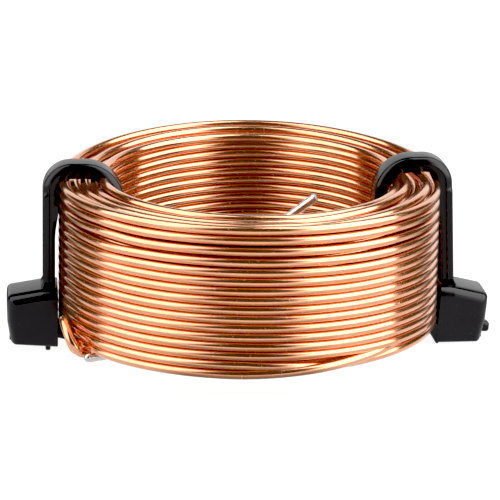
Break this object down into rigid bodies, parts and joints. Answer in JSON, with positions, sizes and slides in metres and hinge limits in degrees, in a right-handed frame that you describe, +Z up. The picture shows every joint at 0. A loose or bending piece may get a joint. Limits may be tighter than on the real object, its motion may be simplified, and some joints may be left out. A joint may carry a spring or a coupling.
{
  "type": "air core inductor",
  "caption": "Round multi-layer air-core inductor of enamelled copper wire, held by two black cable ties, with tinned wire ends.",
  "frame": {"origin": "on the winding's axis, in the plane of the surface that the tie heads stand on", "axes": "+Z up along the winding's axis; -X towards the left tie; the free wire end lies in the bore on the -Y side"},
  "size_m": [0.0572, 0.0446, 0.0225],
  "materials": {
    "enamelled_copper": "gloss",
    "solder": "satin",
    "black_nylon": "satin"
  },
  "bodies": {
    "root": {"winding": "enamelled_copper", "left_tie": "black_nylon", "right_tie": "black_nylon", "start_tip": "solder", "end_tip": "solder"}
  },
  "joints": []
}
